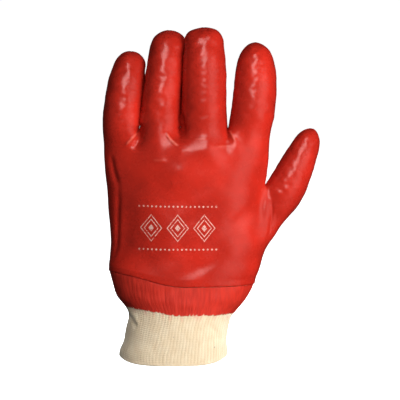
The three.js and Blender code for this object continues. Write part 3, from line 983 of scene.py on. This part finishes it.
class Paint:
    """A material, with the sums and noises that its colours, gloss and bumps are worked out by."""

    def __init__(self, name):
        self.material = bpy.data.materials.new(name)
        self.material.use_nodes = True
        self.tree = self.material.node_tree
        self.shader = self.tree.nodes["Principled BSDF"]

    def connect(self, socket, value):
        if isinstance(value, bpy.types.NodeSocket):
            self.tree.links.new(value, socket)
        else:
            socket.default_value = value

    def finish(self, values):
        """The material, with its shader's sockets set to values or linked to what drives them."""
        for name, value in values.items():
            self.connect(self.shader.inputs[name], value)
        return self.material

    def node(self, kind, inputs=None, **settings):
        made = self.tree.nodes.new(kind)
        for name, value in settings.items():
            setattr(made, name, value)
        for name, value in (inputs or {}).items():
            self.connect(made.inputs[name], value)
        return made

    def calc(self, operation, *values):
        made = self.node("ShaderNodeMath", operation=operation)
        for socket, value in zip(made.inputs, values):
            self.connect(socket, value)
        return made.outputs[0]

    def fold(self, operation, values):
        """One operation on a first and a second value, then on that and the third, and so on."""
        result, *others = values
        for value in others:
            result = self.calc(operation, result, value)
        return result

    def total(self, *values):
        return self.fold("ADD", values)

    def times(self, *values):
        return self.fold("MULTIPLY", values)

    def highest(self, *values):
        return self.fold("MAXIMUM", values)

    def minus(self, value, other):
        return self.calc("SUBTRACT", value, other)

    def over(self, value, other):
        return self.calc("DIVIDE", value, other)

    def below(self, value, limit):
        """1 where a value is below a limit, and 0 elsewhere."""
        return self.calc("LESS_THAN", value, limit)

    def away(self, value):
        return self.calc("ABSOLUTE", value)

    def between(self, share, low, high):
        return self.calc("MULTIPLY_ADD", share, high - low, low)

    def ramp(self, value, low, high):
        """0 up to low, 1 from high, and smooth between them."""
        inputs = {"Value": value, "From Min": low, "From Max": high}
        return self.node("ShaderNodeMapRange", inputs, interpolation_type="SMOOTHSTEP").outputs[0]

    def blend(self, share, a, b):
        made = self.node("ShaderNodeMix", data_type="RGBA")
        for number, value in ((0, share), (6, a), (7, b)):
            self.connect(made.inputs[number], value)
        return made.outputs[2]

    def place(self):
        """The place on the glove, in metres."""
        return self.node("ShaderNodeTexCoord").outputs["Object"]

    def stretched(self, scale):
        """The place on the glove in millimetres, stretched by a scale for each axis."""
        inputs = {"Vector": self.place(), "Scale": [x / METRES for x in scale]}
        return self.node("ShaderNodeMapping", inputs).outputs[0]

    def noise(self, size, stretch=(1, 1, 1), detail=2, rough=0.5):
        """Noise with features of a size in millimetres."""
        where = self.stretched([x / size for x in stretch])
        inputs = {"Vector": where, "Scale": 1, "Detail": detail, "Roughness": rough}
        return self.node("ShaderNodeTexNoise", inputs).outputs[0]

    def patches(self, size, low, high, **kind):
        """Noise of a size, parted into places of 0 and places of 1."""
        return self.ramp(self.noise(size, **kind), low, high)

    def bump(self, height, depth, normal=None):
        """A bump of a depth in millimetres."""
        inputs = {"Height": height, "Distance": depth * METRES, "Strength": 1}
        if normal is not None:
            inputs["Normal"] = normal
        return self.node("ShaderNodeBump", inputs).outputs[0]

    def marked(self, name):
        return self.node("ShaderNodeAttribute", attribute_name=name).outputs["Fac"]


# The plain white print on the back: three lozenges between two rows of dots, in millimetres. A
# lozenge's inner line and its core are shares of it, and so is the thickness of its lines.
print_x, print_z = 3, 107
print_half_width = 30.7
lozenge_pitch, lozenge_half_width, lozenge_half_height = 20.5, 8.6, 10.6
lozenge_line, lozenge_inner, lozenge_core = 0.1, 0.62, 0.26
dot_pitch, dot_radius, dot_row = 3.3, 0.75, 16.5

coat_red = (0.64, 0.049, 0.028, 1)
coat_deep_red = (0.5, 0.04, 0.024, 1)
coat_fleck_red = (0.68, 0.048, 0.024, 1)
# The pale red of the sharp ridges is a painted highlight.
ridge_highlight_red = (0.95, 0.3, 0.22, 1)
ink_white = (0.84, 0.72, 0.66, 1)
band_red = (0.64, 0.046, 0.026, 1)
band_deep_red = (0.52, 0.034, 0.02, 1)
cotton = (0.88, 0.78, 0.61, 1)
cotton_tan = (0.8, 0.67, 0.48, 1)
# A darker cream: painted shade in the knit's rib valleys, and a random darker tone in the lining.
dark_cotton_and_shade = (0.66, 0.53, 0.36, 1)
stain_pink = (0.8, 0.34, 0.24, 1)
speck_grey = (0.3, 0.24, 0.19, 1)

# How strongly each second colour shows, from 0 to 1.
fleck_share, ridge_highlight_share, ink_share = 0.22, 0.5, 0.92
band_cloud_share, band_edge_share = 0.4, 0.55
valley_shade_share, stain_share, speck_share = 0.2, 0.5, 0.6

# Roughness, from its lowest to its highest.
coat_roughness = (0.2, 0.34)
band_roughness = (0.4, 0.54)
ink_roughness = 0.5

# Depths of the bumps.
peel_depth, weave_depth, line_depth, ink_depth = 0.05, 0.07, 0.5, 0.03
band_grain_depth, band_streak_depth = 0.09, 0.05
knit_fibre_depth, lining_fibre_depth = 0.16, 0.3
twist_fineness, twist_share = 2.5, 0.6

# Dark specks in the knit: the size of the cells that hold one each, a speck's radius as a share of
# that, and the level that a coarse noise has to pass where they show.
speck_pitch, speck_radius, speck_rarity = 10, 0.06, 0.52

# Heights over which a line's painted highlight, the band's thin edge and the knit's stain fade.
ridge_highlight_heights = (0.08, 0.6)
band_edge_heights = (0, 1.4)
stain_heights = (0, 6.5)

# How far towards the palm the marks of the back reach.
back_limit = 4

COAT_GLOSS = {
    "Specular IOR Level": 0.5, "Coat Weight": 0.7, "Coat Roughness": 0.2, "Coat IOR": 1.4,
    "Coat Tint": (0.9, 0.6, 0.55, 1),
}
KNIT_GLOSS = {
    "Roughness": 0.95, "Diffuse Roughness": 1, "Specular IOR Level": 0.15, "Sheen Weight": 0.5,
    "Sheen Roughness": 0.6,
}
LINING_GLOSS = {"Roughness": 0.98, "Specular IOR Level": 0.1, "Sheen Weight": 0.2}


def print_mask(paint, x, z):
    """1 on the print's ink and 0 beside it, worn thin in small spots."""
    x, z = paint.minus(x, print_x), paint.minus(z, print_z)

    def from_middle(value, pitch):
        turned = paint.calc("FLOORED_MODULO", paint.total(value, pitch / 2), pitch)
        return paint.minus(turned, pitch / 2)

    beside = paint.over(paint.away(from_middle(x, lozenge_pitch)), lozenge_half_width)
    reach = paint.total(beside, paint.over(paint.away(z), lozenge_half_height))
    outer = paint.calc("COMPARE", reach, 1 - lozenge_line / 2, lozenge_line / 2)
    inner = paint.calc("COMPARE", reach, lozenge_inner, lozenge_line / 2)
    core = paint.below(reach, lozenge_core)
    dot_x, dot_z = from_middle(x, dot_pitch), paint.minus(paint.away(z), dot_row)
    squares = paint.total(paint.times(dot_x, dot_x), paint.times(dot_z, dot_z))
    marks = paint.highest(outer, inner, core, paint.below(squares, dot_radius**2))
    inside = paint.below(paint.away(x), print_half_width)
    worn = paint.patches(1.1, low=0.36, high=0.46, detail=3)
    return paint.times(marks, inside, worn, ink_share)


def line_mask(paint, x, z, line):
    """The height of one bowed line, in millimetres, at a place in the X-Z plane."""
    x0, z0, x1, z1, bow, wide, high = line
    length = math.hypot(x1 - x0, z1 - z0)
    cos, sin = (x1 - x0) / length, (z1 - z0) / length
    from_x, from_z = paint.minus(x, x0), paint.minus(z, z0)
    along = paint.total(paint.times(from_x, cos / length), paint.times(from_z, sin / length))
    aside = paint.minus(paint.times(from_z, cos), paint.times(from_x, sin))
    arc = paint.times(along, paint.minus(1, along), 4 * bow)
    off = paint.over(paint.minus(aside, arc), wide)
    ridge = paint.calc("EXPONENT", paint.times(off, off, -1))
    begun = paint.ramp(along, 0, line_fade)
    ended = paint.ramp(along, 1 - line_fade, 1)
    return paint.times(ridge, begun, paint.minus(1, ended), high)


def coat_material():
    """Glossy coat: two reds, a clear soft gloss, orange peel and the knit's faint relief."""
    paint = Paint("hand_coat")
    parts = paint.node("ShaderNodeSeparateXYZ", {"Vector": paint.place()}).outputs
    x, y, z = (paint.over(part, METRES) for part in parts)
    on_back = paint.below(y, back_limit)
    lines = paint.total(*(line_mask(paint, x, z, line) for line in SHARP_LINES))
    lines = paint.times(lines, on_back)
    ink = paint.times(print_mask(paint, x, z), on_back)

    clouds = paint.patches(26, low=0.35, high=0.7, detail=3)
    flecks = paint.patches(2.2, low=0.3, high=0.75, detail=4, rough=0.65)
    red = paint.blend(clouds, coat_deep_red, coat_red)
    red = paint.blend(paint.times(flecks, fleck_share), red, coat_fleck_red)
    # A paler red on the sharp ridges: a painted highlight.
    thin_edge_and_highlight = paint.times(paint.ramp(lines, *ridge_highlight_heights), ridge_highlight_share)
    red = paint.blend(thin_edge_and_highlight, red, ridge_highlight_red)
    red = paint.blend(ink, red, ink_white)

    rough = paint.between(paint.noise(7, detail=4), *coat_roughness)
    rough = paint.highest(rough, paint.times(ink, ink_roughness))
    peel = paint.bump(paint.noise(1.5, detail=3), peel_depth)
    weave = paint.bump(paint.noise(2.4, stretch=(0.6, 0.6, 2.4)), weave_depth, peel)
    drawn = paint.bump(lines, line_depth, weave)
    relief = paint.bump(ink, ink_depth, drawn)
    return paint.finish({"Base Color": red, "Roughness": rough, "Normal": relief, **COAT_GLOSS})


def band_material():
    """The same coat, duller and thinner, over the ribs of the wrist."""
    paint = Paint("band_coat")
    streaks = paint.patches(2.2, low=0.3, high=0.7, stretch=(1.4, 1.4, 0.12), detail=3)
    clouds = paint.patches(14, low=0.35, high=0.7)
    red = paint.blend(streaks, band_deep_red, band_red)
    red = paint.blend(paint.times(clouds, band_cloud_share), red, coat_red)
    thin_edge_and_highlight = paint.minus(1, paint.ramp(paint.marked("above_edge"), *band_edge_heights))
    pale = paint.times(thin_edge_and_highlight, paint.patches(0.9, low=0.4, high=0.7), band_edge_share)
    red = paint.blend(pale, red, stain_pink)
    rough = paint.between(streaks, *band_roughness)
    grain = paint.bump(paint.noise(0.7, detail=4, rough=0.6), band_grain_depth)
    relief = paint.bump(streaks, band_streak_depth, grain)
    return paint.finish({"Base Color": red, "Roughness": rough, "Normal": relief})


def fibre_bump(paint, size, depth):
    """Twisted fibres: fine noise drawn out along the knit, over coarser fluff."""
    fluff = paint.bump(paint.noise(size, detail=4, rough=0.7), depth)
    twist = paint.noise(size / twist_fineness, stretch=(1.6, 1.6, 0.7), detail=3, rough=0.7)
    return paint.bump(twist, depth * twist_share, fluff)


def knit_material():
    """Cream cotton: painted shade in the valleys, pink where the coat bled, and a few dark specks."""
    paint = Paint("knit")
    clouds = paint.patches(5, low=0.25, high=0.75, stretch=(1, 1, 0.5), detail=4, rough=0.6)
    cream = paint.blend(clouds, cotton_tan, cotton)
    # Painted shade: darker cream the deeper a point lies in a rib valley.
    cream = paint.blend(paint.times(paint.marked("valley"), valley_shade_share), cream, dark_cotton_and_shade)
    bled = paint.minus(1, paint.ramp(paint.marked("below_edge"), *stain_heights))
    runs = paint.patches(3, low=0.42, high=0.7, stretch=(1, 1, 0.2), detail=3)
    cream = paint.blend(paint.times(bled, runs, stain_share), cream, stain_pink)
    where = paint.stretched([1 / speck_pitch] * 3)
    cells = paint.node("ShaderNodeTexVoronoi", {"Vector": where, "Scale": 1})
    spots = paint.below(cells.outputs["Distance"], speck_radius)
    rare = paint.calc("GREATER_THAN", paint.noise(17, detail=1), speck_rarity)
    cream = paint.blend(paint.times(spots, rare, speck_share), cream, speck_grey)
    relief = fibre_bump(paint, 0.5, knit_fibre_depth)
    return paint.finish({"Base Color": cream, "Normal": relief, **KNIT_GLOSS})


def lining_material():
    """The cotton jersey that the coat was dipped on, seen from inside."""
    paint = Paint("lining")
    clouds = paint.patches(3, low=0.3, high=0.7, detail=4, rough=0.6)
    cream = paint.blend(clouds, dark_cotton_and_shade, cotton)
    relief = fibre_bump(paint, 0.8, lining_fibre_depth)
    return paint.finish({"Base Color": cream, "Normal": relief, **LINING_GLOSS})


# The photograph: its size and one of its pixels, the pixel of the origin, and the view.
photo_pixels = 400
pixel = 0.775
origin_pixel = (174, 362.5)
elevation = math.radians(6)
camera_away = 3000
view_end = 100
sensor = 36


def placed(name, data, place, back):
    """A camera or light at a place, with its back turned a given way."""
    made = bpy.data.objects.new(name, data)
    made.location = place
    made.rotation_mode = "QUATERNION"
    made.rotation_quaternion = back.to_track_quat("Z", "Y")
    bpy.context.scene.collection.objects.link(made)
    return made


def make_camera():
    back = Vector((0, -math.cos(elevation), math.sin(elevation)))
    aim_x = (photo_pixels / 2 - origin_pixel[0]) * pixel
    aim_z = (origin_pixel[1] - photo_pixels / 2) * pixel / math.cos(elevation)
    data = bpy.data.cameras.new("camera")
    data.sensor_width = sensor
    data.lens = sensor * camera_away / (photo_pixels * pixel)
    data.clip_end = view_end
    place = (Vector((aim_x, 0, aim_z)) + back * camera_away) * METRES
    bpy.context.scene.camera = placed("camera", data, place, back)


# Lights: name, azimuth from the camera to the right, elevation, distance in metres, width, height,
# watts, and whether the glove's gloss shows it. The palm's lights are behind the glove.
LIGHTS = [
    ("key", 42, 4, 0.7, 0.5, 0.6, 7.4, False),
    ("panel", 34, 16, 2, 1, 0.8, 1, True),
    ("crest", -4, 32, 2.2, 0.75, 1.4, 17, True),
    ("fill", -58, 8, 2.2, 1.2, 1.6, 1.5, False),
    ("palm key", 160, 18, 1, 0.6, 0.6, 10, False),
    ("palm fill", 215, 5, 2, 1.2, 1.6, 4, False),
    ("palm crest", 184, 40, 2.2, 0.6, 1.4, 8, False),
]
light_aim = Vector((0.02, 0, 0.13))


def make_lights():
    for name, azimuth, up, away, width, height, watts, glossy in LIGHTS:
        a, e = math.radians(azimuth), math.radians(up)
        back = Vector((math.sin(a) * math.cos(e), -math.cos(a) * math.cos(e), math.sin(e)))
        data = bpy.data.lights.new(name, "AREA")
        data.shape = "RECTANGLE"
        data.size, data.size_y = width, height
        data.energy = watts
        light = placed(name, data, light_aim + back * away, back)
        light.visible_glossy = glossy


# The floor and the light from all round, with lengths in metres.
floor_drop = 0.06
floor_half = 40
FLOOR_LOOK = {
    "Base Color": (0.86, 0.86, 0.86, 1), "Roughness": 0.9, "Emission Color": (1, 1, 1, 1),
    "Emission Strength": 1,
}
world_white = (0.95, 0.97, 1, 1)
world_strength = 0.025
view_gamma = 0.86


def make_stage():
    """A plain pale floor below the glove and an even pale light from all round."""
    mesh = bpy.data.meshes.new("floor")
    signs = ((-1, -1), (1, -1), (1, 1), (-1, 1))
    corners = [(x * floor_half, y * floor_half, -floor_drop) for x, y in signs]
    mesh.from_pydata(corners, [], [(0, 1, 2, 3)])
    mesh.materials.append(Paint("floor").finish(FLOOR_LOOK))
    floor = bpy.data.objects.new("floor", mesh)
    floor.visible_glossy = False
    floor.visible_diffuse = False
    bpy.context.scene.collection.objects.link(floor)
    world = bpy.data.worlds.new("studio")
    world.use_nodes = True
    background = world.node_tree.nodes["Background"]
    background.inputs["Color"].default_value = world_white
    background.inputs["Strength"].default_value = world_strength
    bpy.context.scene.world = world
    bpy.context.scene.view_settings.view_transform = "Standard"
    bpy.context.scene.view_settings.gamma = view_gamma


make_camera()
make_lights()
make_stage()
hand_materials = [coat_material(), lining_material()]
new_piece("hand", hand_skin(), hand_materials, "hand_shell")
new_piece("band", coated_band(), [band_material()], "coated_band", band_marks)
new_piece("knit", knit_wrist(), [knit_material()], "knit_wrist", knit_marks)
